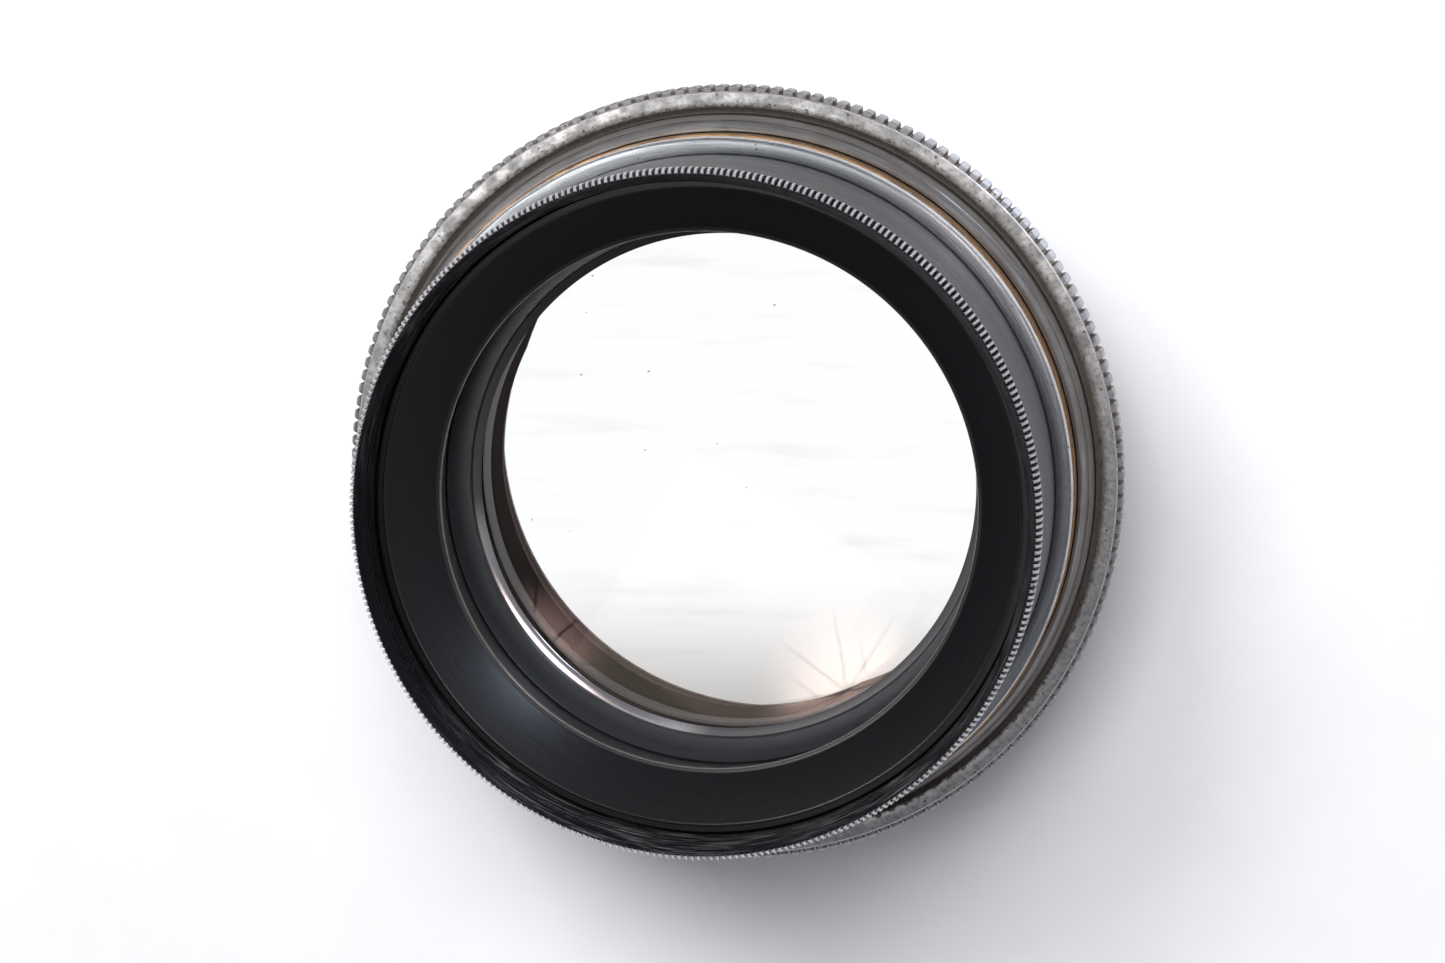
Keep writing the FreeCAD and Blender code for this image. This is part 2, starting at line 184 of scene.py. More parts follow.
# %% The camera
MASK_OPENING_Z = ends_of("dished_mask")[0] + 0.25      # height of the mask's inner edge, mm
TILT = math.radians(12.87)                             # between the view and the optical axis
TURN = math.radians(44.8)                              # which way the view leans
CAMERA_DISTANCE = 310.2                                # mm, from the opening to the camera
OPENING_LEFT, OPENING_DOWN = 1.225, 1.63               # mm, the opening's place off the view's centre
LENS_MM, SENSOR_MM = 99.65, 36.0

lean = Vector((math.cos(TURN), math.sin(TURN), 0))
across = Vector((-math.sin(TURN), math.cos(TURN), 0))
axis = Vector((0, 0, 1))
view_back = lean * math.sin(TILT) + axis * math.cos(TILT)
lean_seen = lean * math.cos(TILT) - axis * math.sin(TILT)
view_right = lean_seen * math.cos(TURN) - across * math.sin(TURN)
view_up = lean_seen * math.sin(TURN) + across * math.cos(TURN)
opening = Vector((0, 0, MASK_OPENING_Z))
eye = opening + view_back * CAMERA_DISTANCE + view_right * OPENING_LEFT + view_up * OPENING_DOWN

camera_data = bpy.data.cameras.new("view")
camera_data.lens = LENS_MM
camera_data.sensor_width = SENSOR_MM
camera_data.clip_start = 0.01
camera_data.clip_end = 20
camera = bpy.data.objects.new("view", camera_data)
bpy.context.scene.collection.objects.link(camera)
facing = Matrix((view_right, view_up, view_back)).transposed().to_4x4()
camera.matrix_world = Matrix.Translation(eye * MM) @ facing
bpy.context.scene.camera = camera
print("camera at", [round(v) for v in eye], "mm")

# %% [markdown]
# ## The front ring and its fine straight knurl
#
# The black front ring screws into the barrel.  Its edge carries a straight knurl, rolled in by a
# wheel with half-millimetre teeth, so that fingers can turn it.  The ring is turned with three
# points to each tooth.  The band's points are then picked out one in three and drawn inwards,
# which leaves a narrow flat on each tooth and a V between two teeth.  Over the bevel at the
# front the grooves grow shallower and run out at the lip, as those of a rolled knurl do.
#
# Inside, the ring flares outwards to a thin lip, and below that lies the worn accessory thread.

# %% The front ring
TEETH = 336
POINTS_PER_TOOTH = 3
TOOTH_DEPTH = 0.38
RUN_OUT = 0.35               # the grooves grow shallower over this much radius above the lip
THREAD_PITCH = 0.75
THREAD_TURNS = 4
THREAD_R = 25.50
THREAD_DEPTH = 0.14

tip_r = radius_of("front_ring")
ring_low, ring_high = ends_of("front_ring")
band_low = ring_high - 1.70
mask_low, mask_high = ends_of("dished_mask")
thread_low = mask_high + 0.40


def thread_outline(crest_r, root_r, low, turns, pitch):
    """Points up the inside of a worn thread, drawn as rings with rounded-off crests."""
    points = []
    for turn in range(turns):
        base = low + turn * pitch
        points += [(crest_r, base), (crest_r, base + 0.30 * pitch), (root_r, base + 0.62 * pitch)]
    top = low + turns * pitch
    return points + [(crest_r, top), (crest_r, top + 0.30 * pitch)]


thread_rings = thread_outline(THREAD_R, THREAD_R + THREAD_DEPTH, thread_low, THREAD_TURNS, THREAD_PITCH)
front_outline = [
    (24.20, ring_low),
    (25.75, ring_low),
    (25.95, ring_low + 0.20),
    (25.95, band_low),
    (tip_r - 0.22, band_low),
    (tip_r, band_low + 0.20),
    (tip_r, band_low + 0.60),
    (tip_r, ring_high - 0.62),
    (tip_r - 0.17, ring_high - 0.38),
    (tip_r - 0.36, ring_high - 0.12),
    (tip_r - 0.44, ring_high - 0.02),
    (tip_r - 0.50, ring_high),
    (tip_r - 0.56, ring_high - 0.04),
    (tip_r - 0.66, ring_high - 0.22),
] + thread_rings[::-1] + [
    (25.75, thread_low),
    (25.52, mask_low + 0.75),
    (24.20, mask_low + 0.75),
]
front_ring = lathe("front_ring_knurled", front_outline, around=TEETH * POINTS_PER_TOOTH)

lip_r = tip_r - 0.50
step_angle = 2 * math.pi / (TEETH * POINTS_PER_TOOTH)
groove_loops = {}
for vertex in front_ring.data.vertices:
    r = math.hypot(vertex.co.x, vertex.co.y) / MM
    z = vertex.co.z / MM
    step = round(math.atan2(vertex.co.y, vertex.co.x) / step_angle)
    if z > band_low - 0.01 and r > lip_r + 0.01 and step % POINTS_PER_TOOTH == 0:
        groove_loops.setdefault((round(r, 3), round(z, 3)), []).append(vertex.index)
start_edit(front_ring)
bpy.ops.mesh.select_all(action="DESELECT")
end_edit()
for (loop_r, loop_z), members in groove_loops.items():
    for index in members:
        front_ring.data.vertices[index].select = True
    start_edit(front_ring)
    depth = TOOTH_DEPTH * min(1.0, (loop_r - lip_r) / RUN_OUT)
    draw_in = (loop_r - depth) / loop_r
    bpy.ops.transform.resize(value=(draw_in, draw_in, 1), center_override=(0, 0, loop_z * MM))
    bpy.ops.mesh.select_all(action="DESELECT")
    end_edit()
smooth(front_ring, 24)
place_piece(front_ring, "front_ring", "black_paint", "front_ring")

# %% [markdown]
# ## The dished mask
#
# A black dish lies inside the front ring and frames the glass.  Its rim has a fine groove, and
# its inner edge is rolled over, so that it shows as a thin bright line round the opening.

# %% The dished mask
mask_r = radius_of("dished_mask")
opening_r = 21.10
mask_outline = [
    (mask_r, mask_low + 0.75),
    (mask_r, mask_high - 0.12),
    (mask_r - 0.12, mask_high),
    (mask_r - 0.50, mask_high),
    (mask_r - 0.54, mask_high - 0.14),
    (mask_r - 0.62, mask_high - 0.14),
    (mask_r - 0.66, mask_high - 0.04),
    (mask_r - 0.80, mask_high - 0.08),
    (opening_r + 0.40, MASK_OPENING_Z + 0.30),
] + arc(opening_r + 0.20, MASK_OPENING_Z + 0.02, 0.20, 80, 190, 6) + [
    (opening_r + 0.04, MASK_OPENING_Z - 0.16),
    (opening_r + 0.60, mask_low),
    (mask_r - 1.35, mask_low + 0.75),
]
mask = lathe("dished_mask_turned", mask_outline)
smooth(mask)
place_piece(mask, "mask", "black_paint", "dished_mask")

# %% [markdown]
# ## The barrel, the collar and the brass
#
# Under the front ring comes a plain satin tube.  A bright collar closes the top of the brass
# helicoid sleeve, with one fine line cut near its edge, and the brass shows as a narrow band
# between the collar and the ring below.  The barrel slides on two keys, so it has two slots on
# the inside; a box is taken away from it at each.

# %% The barrel
barrel_low, barrel_high = ends_of("barrel")
barrel_r = radius_of("barrel")
sleeve_high = ends_of("brass_sleeve")[1]
cell_high = ends_of("lens_cell")[1]
barrel_outline = [
    (24.90, barrel_low),
    (26.20, barrel_low),
    (26.40, barrel_low + 0.20),
    (26.40, sleeve_high),
    (barrel_r, sleeve_high),
    (barrel_r, barrel_high - 0.15),
    (barrel_r - 0.15, barrel_high),
    (26.00, barrel_high),
    (26.00, cell_high),
    (24.90, cell_high),
    (24.90, cell_high - 2.00),
    (23.30, cell_high - 2.00),
    (23.30, cell_high - 3.50),
    (24.90, cell_high - 3.50),
]
barrel = lathe("barrel_tube", barrel_outline)

key_low, key_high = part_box("guide_keys")
SLOT_CLEARANCE = 0.10
slot_half_width = key_high.y / MM + SLOT_CLEARANCE
slot_top = key_high.z / MM + 3.20
slot_outer_r = 25.70
for side in (-1, 1):
    middle = (side * (slot_outer_r - 1), 0, (slot_top + barrel_low - 1) / 2)
    bpy.ops.object.select_all(action="DESELECT")
    bpy.ops.mesh.primitive_cube_add(size=MM, location=[v * MM for v in middle])
    cutter = bpy.context.object
    cutter.scale = (2, 2 * slot_half_width, slot_top - barrel_low + 1)
    cut = barrel.modifiers.new("key slot", "BOOLEAN")
    cut.operation = "DIFFERENCE"
    cut.object = cutter
    bpy.context.view_layer.objects.active = barrel
    bpy.ops.object.modifier_apply(modifier=cut.name)
    bpy.data.objects.remove(cutter)
smooth(barrel)
place_piece(barrel, "lens_head", "satin_barrel", "barrel")

# %% The collar
collar_r = radius_of("collar")
collar_low, collar_high = ends_of("collar")
collar_outline = [
    (26.55, collar_low),
    (collar_r - 0.06, collar_low),
    (collar_r, collar_low + 0.08),
    (collar_r - 0.02, collar_low + 0.18),
    (collar_r - 0.06, collar_low + 0.30),
    (collar_r - 0.07, collar_high - 0.22),
    (collar_r - 0.10, collar_high - 0.13),
    (collar_r - 0.16, collar_high - 0.07),
    (collar_r - 0.26, collar_high - 0.03),
    (collar_r - 0.42, collar_high),
    (26.62, collar_high),
    (26.55, collar_high - 0.02),
]
collar = lathe("collar_bright", collar_outline)
smooth(collar, 20)
place_piece(collar, "lens_head", "bright_collar", "collar")

# %% The brass sleeve
sleeve_low = ends_of("brass_sleeve")[0]
sleeve_r = radius_of("brass_sleeve")
sleeve_outline = [(26.45, sleeve_low), (sleeve_r - 0.20, sleeve_low)]
for turn in range(THREAD_TURNS):
    base = sleeve_low + 0.30 + turn * THREAD_PITCH
    sleeve_outline += [(sleeve_r, base), (sleeve_r, base + 0.26), (sleeve_r - 0.25, base + 0.50)]
sleeve_outline += [
    (sleeve_r, sleeve_low + 0.30 + THREAD_TURNS * THREAD_PITCH),
    (sleeve_r, sleeve_high),
    (26.45, sleeve_high),
]
sleeve = lathe("brass_sleeve_turned", sleeve_outline)
smooth(sleeve, 20)
place_piece(sleeve, "lens_head", "brass", "brass_sleeve")

# %% [markdown]
# ## The focusing ring
#
# Two rings turn together: a light-grey inner ring, whose bevel shows round the brass, and the
# outer grip.  The grip's front face is slightly crowned and falls into a dirty gutter beside the
# inner ring.  Its edge has a coarse knurl.

# %% The inner ring
helicoid_r = radius_of("helicoid_ring")
helicoid_low, helicoid_high = ends_of("helicoid_ring")
helicoid_outline = [
    (28.10, helicoid_low),
    (helicoid_r - 0.20, helicoid_low),
    (helicoid_r, helicoid_low + 0.20),
    (helicoid_r, helicoid_high - 1.72),
    (helicoid_r - 0.05, helicoid_high - 1.62),
    (helicoid_r - 0.36, helicoid_high - 1.10),
    (helicoid_r - 0.42, helicoid_high - 1.06),
    (28.42, helicoid_high - 0.10),
    (28.34, helicoid_high),
    (28.10, helicoid_high),
    (28.10, helicoid_high - 0.60),
]
helicoid = lathe("helicoid_ring_turned", helicoid_outline)
smooth(helicoid, 18)
place_piece(helicoid, "focus_ring", "machined_alloy", "helicoid_ring")

# %% [markdown]
# The knurl is cut by straight grooves along the ring and by others round it, which leaves rows of
# small rounded studs.  It starts as rows of square cells round the ring.  Each cell is inset
# three times on its own: once level, for the floor of the groove, and twice while it rises, first
# steeply and then gently, so the stud gets a rounded top.

# %% The grip with its knurl
STUDS = 180
KNURL_ROWS = 3
KNURLED_BAND_HEIGHT = 3.30
GROOVE_HALF_WIDTH = 0.06
STUD_STEPS = ((GROOVE_HALF_WIDTH, 0.0), (0.10, 0.32), (0.12, 0.14))     # inset and rise, mm
KNURL_DEPTH = sum(rise for inset, rise in STUD_STEPS)

grip_r = radius_of("knurled_ring")
skirt_low, grip_high = ends_of("knurled_ring")
foot_r = grip_r - KNURL_DEPTH
grip_low = grip_high - KNURLED_BAND_HEIGHT
knurl_low, knurl_high = grip_low + 0.20, grip_high - 0.26
row_height = (knurl_high - knurl_low) / KNURL_ROWS
grip_outline = [
    (29.70, skirt_low),
    (30.20, skirt_low),
    (30.40, skirt_low + 0.20),
    (30.40, grip_low),
    (foot_r - 0.12, grip_low),
    (foot_r, knurl_low - 0.06),
]
grip_outline += [(foot_r, knurl_low + row * row_height) for row in range(KNURL_ROWS + 1)]
grip_outline += [
    (foot_r, knurl_high + 0.05),
    (foot_r - 0.03, grip_high - 0.14),
    (foot_r - 0.09, grip_high - 0.09),
    (foot_r - 0.20, grip_high - 0.07),
    (30.40, grip_high - 0.02),
    (30.05, grip_high),
    (29.85, grip_high - 0.06),
    (29.72, grip_high - 0.20),
    (29.55, grip_high - 0.42),
    (29.40, grip_high - 0.54),
    (29.30, grip_high - 0.58),
    (29.30, helicoid_low),
    (29.70, helicoid_low),
]
grip = lathe("knurled_grip", grip_outline, around=STUDS)


def middle_of(face):
    """Radius and height of a face's middle, in millimetres."""
    return math.hypot(face.center.x, face.center.y) / MM, face.center.z / MM


start_edit(grip)
bpy.ops.mesh.select_all(action="DESELECT")
bpy.ops.mesh.select_mode(type="FACE")
end_edit()
for face in grip.data.polygons:
    r, z = middle_of(face)
    face.select = r > foot_r - 0.02 and knurl_low < z < knurl_high
print("studs:", sum(face.select for face in grip.data.polygons))
start_edit(grip)
for inset_mm, rise_mm in STUD_STEPS:
    bpy.ops.mesh.inset(thickness=inset_mm * MM, depth=rise_mm * MM, use_individual=True)
end_edit()

# %% [markdown]
# The two grub screws sit in holes.  Each hole is a short cylinder taken away from the grip, at the
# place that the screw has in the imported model.  The locking screw's tip also bites into a shallow
# spot drilled in the inner ring, which keeps the two rings together.

# %% Holes for the grub screws
def drill(piece, screw_node, radius, deeper, further):
    """Takes a round hole along a screw's own line away from a piece; lengths in millimetres."""
    low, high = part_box(screw_node)
    centre = (low + high) / 2
    outwards = Vector((centre.x, centre.y, 0)).normalized()
    start, end = centre - outwards * deeper * MM, centre + outwards * further * MM
    bpy.ops.object.select_all(action="DESELECT")
    bpy.ops.mesh.primitive_cylinder_add(vertices=40, radius=radius * MM,
                                        depth=(end - start).length, location=(start + end) / 2,
                                        rotation=outwards.to_track_quat("Z", "Y").to_euler())
    bit = bpy.context.object
    hole = piece.modifiers.new("screw hole", "BOOLEAN")
    hole.operation = "DIFFERENCE"
    hole.object = bit
    bpy.context.view_layer.objects.active = piece
    bpy.ops.object.modifier_apply(modifier=hole.name)
    bpy.data.objects.remove(bit)


drill(grip, "ring_lock_screw", 0.72, 0.9, 3.0)
drill(grip, "stop_screw", 0.62, 0.9, 3.0)
smooth(grip, 20)
place_piece(grip, "focus_ring", "knurled_nickel", "knurled_ring")
drill(helicoid, "ring_lock_screw", 0.72, 1.07, 3.0)
smooth(helicoid, 18)

# %% [markdown]
# ## The nosepiece
#
# The tube that goes into the telescope is plain, with eased ends.

# %% The nosepiece
nose_r = radius_of("nosepiece")
nose_low, nose_high = ends_of("nosepiece")
shoulder_z = ends_of("base_flange")[0]
NOSE_BORE_R = 24.40
nose_outline = [
    (NOSE_BORE_R, nose_low + 0.20),
    (NOSE_BORE_R + 0.06, nose_low + 0.06),
    (NOSE_BORE_R + 0.20, nose_low),
    (nose_r - 0.30, nose_low),
    (nose_r - 0.09, nose_low + 0.09),
    (nose_r, nose_low + 0.30),
    (nose_r, shoulder_z),
    (25.00, shoulder_z),
    (25.00, nose_high),
    (NOSE_BORE_R, nose_high),
]
nose = lathe("nosepiece_tube", nose_outline)
smooth(nose)
place_piece(nose, "base", "nose_tube", "nosepiece")

# %% [markdown]
# ## The cell and the glass
#
# The glass sits deep in a black cell.  A screwed ring with a sloping face holds it down.  Both
# lens surfaces bow towards the nosepiece, so the lens is drawn as two arcs joined by a ground rim.

# %% The lens cell
cell_low, cell_high = ends_of("lens_cell")
cell_r = radius_of("lens_cell")
crown_high = ends_of("crown_lens")[1]
seat_z = 21.20
glass_r = radius_of("crown_lens")
CELL_BORE_R = 22.20
cell_outline = [
    (21.60, cell_low),
    (22.90, cell_low),
    (23.20, cell_low + 0.30),
    (23.20, cell_high - 2.00),
    (cell_r, cell_high - 2.00),
    (cell_r, cell_high),
    (CELL_BORE_R + 0.30, cell_high),
    (CELL_BORE_R, cell_high - 0.30),
    (CELL_BORE_R, crown_high - 0.20),
    (glass_r + 0.05, crown_high - 0.20),
    (glass_r + 0.05, seat_z),
    (21.00, seat_z),
    (21.00, cell_low + 0.90),
]
cell = lathe("lens_cell_turned", cell_outline)
smooth(cell)
place_piece(cell, "lens_head", "black_paint", "lens_cell")

# %% The lens retainer
retainer_r = radius_of("lens_retainer")
retainer_low, retainer_high = ends_of("lens_retainer")
RETAINER_BORE_R = 20.70
LEDGE_WIDTH = 0.62
LEDGE_FALL = 0.16            # the bare ledge slopes fifteen degrees, and so mirrors a high light
retainer_outline = [
    (RETAINER_BORE_R + 0.30, retainer_low),
    (21.50, retainer_low),
    (retainer_r, retainer_low + 0.40),
    (retainer_r, retainer_high - 0.10),
    (retainer_r - 0.10, retainer_high),
    (retainer_r - 0.20, retainer_high - 0.10),
    (RETAINER_BORE_R + 0.10, retainer_low + 1.30),
    (RETAINER_BORE_R + 0.02, retainer_low + 1.00),
    (RETAINER_BORE_R, retainer_low + 0.56),
    (RETAINER_BORE_R - 0.04, retainer_low + 0.47),
    (RETAINER_BORE_R - LEDGE_WIDTH, retainer_low + 0.47 - LEDGE_FALL),
    (RETAINER_BORE_R - LEDGE_WIDTH - 0.06, retainer_low + 0.42 - LEDGE_FALL),
    (RETAINER_BORE_R - LEDGE_WIDTH - 0.04, retainer_low + 0.20),
    (RETAINER_BORE_R - 0.20, retainer_low + 0.06),
]
retainer = lathe("lens_retainer_turned", retainer_outline)
smooth(retainer)
place_piece(retainer, "lens_head", "black_paint", "lens_retainer")

# %% The two lens elements
CLEAR_R = 20.90
SURFACE_STEPS = 14
FRONT_CURVE, INNER_CURVE, REAR_CURVE = 70.0, 80.0, 85.0


def bowed_surface(curve_r, edge_z, outwards):
    """Points of a surface that bows downwards, from the axis to its edge or back."""
    points = []
    for i in range(SURFACE_STEPS + 1):
        r = CLEAR_R * i / SURFACE_STEPS
        drop = math.sqrt(curve_r ** 2 - r ** 2) - math.sqrt(curve_r ** 2 - CLEAR_R ** 2)
        points.append((r, edge_z - drop))
    return points if outwards else points[::-1]


def lens(name, bottom_curve, bottom_z, top_curve, top_z):
    """A lens as one surface swept out from its middle to the rim and back."""
    outline = bowed_surface(bottom_curve, bottom_z, True)[1:]
    outline += [
        (glass_r - 0.12, bottom_z),
        (glass_r, bottom_z + 0.12),
        (glass_r, top_z - 0.12),
        (glass_r - 0.12, top_z),
    ]
    outline += bowed_surface(top_curve, top_z, False)[:-1]
    glass = lathe(name, outline, around=180, closed=False)
    start_edit(glass)
    bpy.ops.mesh.select_all(action="DESELECT")
    bpy.ops.mesh.select_mode(type="EDGE")
    bpy.ops.mesh.select_non_manifold()
    bpy.ops.mesh.edge_face_add()
    bpy.ops.mesh.select_mode(type="FACE")
    bpy.ops.mesh.poke()
    bpy.ops.mesh.select_mode(type="VERT")
    end_edit()
    middle_bottom = bowed_surface(bottom_curve, bottom_z, True)[0][1]
    middle_top = bowed_surface(top_curve, top_z, True)[0][1]
    for vertex in glass.data.vertices:
        if math.hypot(vertex.co.x, vertex.co.y) < 0.01 * MM:
            low = abs(vertex.co.z / MM - middle_bottom) < abs(vertex.co.z / MM - middle_top)
            vertex.co.z = (middle_bottom if low else middle_top) * MM
    smooth(glass, 30)
    return glass


flint_high = ends_of("flint_lens")[1]
crown_edge_z = ends_of("foil_spacers")[1]
crown = lens("crown_lens_polished", INNER_CURVE, crown_edge_z, FRONT_CURVE, crown_high)
place_piece(crown, "lens_head", "coated_glass", "crown_lens")
flint = lens("flint_lens_polished", REAR_CURVE, seat_z, INNER_CURVE, flint_high)
place_piece(flint, "lens_head", "coated_glass", "flint_lens")

# %% [markdown]
# ## Finishes
#
# A finish is built from a few effects that most of these metals share.  Each effect is a node
# group, made once, with its own named inputs, so that one idea can serve the brass and the black
# paint alike with other numbers.
#
# Turned metal has its own coordinates: how far from the axis, how high, and which way round.  A
# group works these out from the Object coordinates, and turns metres into millimetres, so that
# the numbers in a finish are sizes that could be measured with a ruler.

# %% Helpers for nodes
def put(tree, kind, sockets=None, **settings):
    """Adds a node.  A socket is given a plain value, or another node's output to link."""
    node = tree.nodes.new(kind)
    for name, value in settings.items():
        setattr(node, name, value)
    for name, value in (sockets or {}).items():
        if isinstance(value, bpy.types.NodeSocket):
            tree.links.new(value, node.inputs[name])
        else:
            node.inputs[name].default_value = value
    return node


def reckon(tree, operation, *values):
    """The result of a Math node."""
    return put(tree, "ShaderNodeMath", dict(enumerate(values)), operation=operation).outputs[0]


def blend_colours(tree, share, first, second):
    """One colour fading into another; a share of 1 is all of the second."""
    mix = put(tree, "ShaderNodeMix", {0: share, 6: first, 7: second}, data_type="RGBA")
    return mix.outputs[2]


def rescale(tree, value, low, high, to_low=0.0, to_high=1.0):
    """Turns a value's range from low to high smoothly into another range."""
    sockets = {"Value": value, "From Min": low, "From Max": high, "To Min": to_low, "To Max": to_high}
    return put(tree, "ShaderNodeMapRange", sockets, interpolation_type="SMOOTHSTEP").outputs[0]


def begin_group(name, inputs, outputs):
    """An empty node group with named number inputs and outputs."""
    tree = bpy.data.node_groups.new(name, "ShaderNodeTree")
    for title, value in inputs.items():
        socket = tree.interface.new_socket(name=title, in_out="INPUT", socket_type="NodeSocketFloat")
        socket.default_value = value
    for title in outputs:
        tree.interface.new_socket(name=title, in_out="OUTPUT", socket_type="NodeSocketFloat")
    return tree, tree.nodes.new("NodeGroupInput").outputs, tree.nodes.new("NodeGroupOutput").inputs


def use_group(tree, group, **values):
    """Places a group in a tree; words joined by _ in a value's name stand for a spaced name."""
    sockets = {title.replace("_", " "): value for title, value in values.items()}
    node = put(tree, "ShaderNodeGroup", node_tree=group)
    for title, value in sockets.items():
        if isinstance(value, bpy.types.NodeSocket):
            tree.links.new(value, node.inputs[title])
        else:
            node.inputs[title].default_value = value
    return node.outputs


def times(tree, first, second):
    """Two values multiplied."""
    return reckon(tree, "MULTIPLY", first, second)


def opposite(tree, share):
    """What is left of 1 when a share is taken away."""
    return reckon(tree, "SUBTRACT", 1.0, share)


def object_point_in_mm(tree):
    """Where a point of the piece is, in millimetres."""
    coordinates = put(tree, "ShaderNodeTexCoord")
    sockets = {0: coordinates.outputs["Object"], "Scale": 1 / MM}
    return put(tree, "ShaderNodeVectorMath", sockets, operation="SCALE").outputs[0]


# %% Group: place on the lathe
lathe_place, _, answer = begin_group("place on the lathe", {}, ["Radius", "Height", "East", "North"])
in_mm = object_point_in_mm(lathe_place)
part = put(lathe_place, "ShaderNodeSeparateXYZ", {0: in_mm}).outputs
squares = reckon(lathe_place, "MULTIPLY_ADD", part["X"], part["X"],
                 times(lathe_place, part["Y"], part["Y"]))
radius = reckon(lathe_place, "SQRT", squares)
lathe_place.links.new(radius, answer["Radius"])
lathe_place.links.new(part["Z"], answer["Height"])
lathe_place.links.new(reckon(lathe_place, "DIVIDE", part["X"], radius), answer["East"])
lathe_place.links.new(reckon(lathe_place, "DIVIDE", part["Y"], radius), answer["North"])

# %% [markdown]
# ### Turning lines
#
# A lathe tool leaves a very fine spiral.  Seen close, that is noise which changes quickly across
# the cut and slowly along it.  So the noise is read at a point that moves little when going
# round the ring (Reach) and much when going outwards or upwards (Fineness, in lines to the
# millimetre).  Outwards and upwards are added with unlike shares, so that no cone is left blank.

# %% Group: turning lines
turning_lines, given, answer = begin_group("turning lines", {"Fineness": 6.0, "Reach": 3.0}, ["Lines"])
spot = use_group(turning_lines, lathe_place)
UPWARD_SHARE = 1.37
outwards = reckon(turning_lines, "MULTIPLY_ADD", spot["Height"], UPWARD_SHARE, spot["Radius"])
line_point = put(turning_lines, "ShaderNodeCombineXYZ", {
    "X": times(turning_lines, spot["East"], given["Reach"]),
    "Y": times(turning_lines, spot["North"], given["Reach"]),
    "Z": times(turning_lines, outwards, given["Fineness"]),
})
line_noise = put(turning_lines, "ShaderNodeTexNoise",
                 {"Vector": line_point.outputs[0], "Scale": 1.0, "Detail": 4.0, "Roughness": 0.65})
turning_lines.links.new(rescale(turning_lines, line_noise.outputs[0], 0.25, 0.75), answer["Lines"])

# %% [markdown]
# ### Bands, patches and specks
#
# A band is a mask between two radii or two heights, soft at both ends.  It puts wear where
# fingers touch and dirt where a cloth can't reach.  Patches are clouds of noise, for plating that
# has gone dull unevenly.  Specks are small round spots at random places, each of its own size,
# for pits in plating and for dust.

# %% Groups: band, patches, specks
band, given, answer = begin_group("band", {"Value": 0.0, "Low": 0.0, "High": 1.0, "Soft": 0.1}, ["Mask"])
low_side = rescale(band, given["Value"], reckon(band, "SUBTRACT", given["Low"], given["Soft"]),
                   reckon(band, "ADD", given["Low"], given["Soft"]))
high_side = rescale(band, given["Value"], reckon(band, "SUBTRACT", given["High"], given["Soft"]),
                    reckon(band, "ADD", given["High"], given["Soft"]), 1.0, 0.0)
band.links.new(times(band, low_side, high_side), answer["Mask"])

patches, given, answer = begin_group("patches", {"Per mm": 1.0, "Low": 0.4, "High": 0.6}, ["Mask"])
in_mm = object_point_in_mm(patches)
cloud = put(patches, "ShaderNodeTexNoise",
            {"Vector": in_mm, "Scale": given["Per mm"], "Detail": 6.0, "Roughness": 0.6})
patches.links.new(rescale(patches, cloud.outputs[0], given["Low"], given["High"]), answer["Mask"])

specks, given, answer = begin_group("specks", {"Per mm": 2.0, "Size": 0.2, "Share": 0.5}, ["Mask"])
in_mm = object_point_in_mm(specks)
cells = put(specks, "ShaderNodeTexVoronoi", {"Vector": in_mm, "Scale": given["Per mm"]})
chance = put(specks, "ShaderNodeSeparateColor", {0: cells.outputs["Color"]}).outputs
present = reckon(specks, "LESS_THAN", chance[0], given["Share"])
speck_size = times(specks, given["Size"], chance[1])
shape = rescale(specks, cells.outputs["Distance"], times(specks, speck_size, 0.6),
                speck_size, 1.0, 0.0)
specks.links.new(times(specks, shape, present), answer["Mask"])
print("node groups:", [group.name for group in bpy.data.node_groups])

# %% [markdown]
# ### One way to start every finish
#
# Each finish is a material with one Principled shader.  The values that are the same all over,
# such as how metallic a plain metal is, are set on the shader itself, and the ones that change
# over the surface come from the groups.  Bump nodes read heights in metres here, so their
# distances are small fractions of a millimetre.

# %% Starting a finish
FINISHES = {}


def begin_finish(name, **values):
    """A new material, its tree and its shader, with plain values set on the shader."""
    material = bpy.data.materials.new(name)
    material.use_nodes = True
    tree = material.node_tree
    shader = tree.nodes["Principled BSDF"]
    for title, value in values.items():
        shader.inputs[title.replace("_", " ")].default_value = value
    FINISHES[name] = material
    return tree, shader


def feed(shader, socket, value):
    """Links a value that changes over the surface to one of the shader's sockets."""
    shader.id_data.links.new(value, shader.inputs[socket])


def tool_lines(tree, fineness, reach):
    return use_group(tree, turning_lines, Fineness=fineness, Reach=reach)["Lines"]


def patchy(tree, per_mm, low, high):
    return use_group(tree, patches, Per_mm=per_mm, Low=low, High=high)["Mask"]


def speckled(tree, per_mm, size, share):
    return use_group(tree, specks, Per_mm=per_mm, Size=size, Share=share)["Mask"]


def emboss(tree, shader, height, depth_mm, strength=1.0, under=None):
    """Feeds a height to the shader's normal; returns the normal for another bump to add to."""
    sockets = {"Height": height, "Distance": depth_mm * MM, "Strength": strength}
    if under:
        sockets["Normal"] = under
    bump = put(tree, "ShaderNodeBump", sockets)
    feed(shader, "Normal", bump.outputs[0])
    return bump.outputs[0]


# %% [markdown]
# ### Black paint on the front ring
#
# The paint has worn off the knurl's crests and off the bevel above them, so each tooth shows
# bright metal and each groove stays black.  On the bevel the crests lie on a slope, so the mask
# uses the radius with the slope added back.  Inside the ring, screwing things in and out has
# scuffed the thread in short streaks that run round.

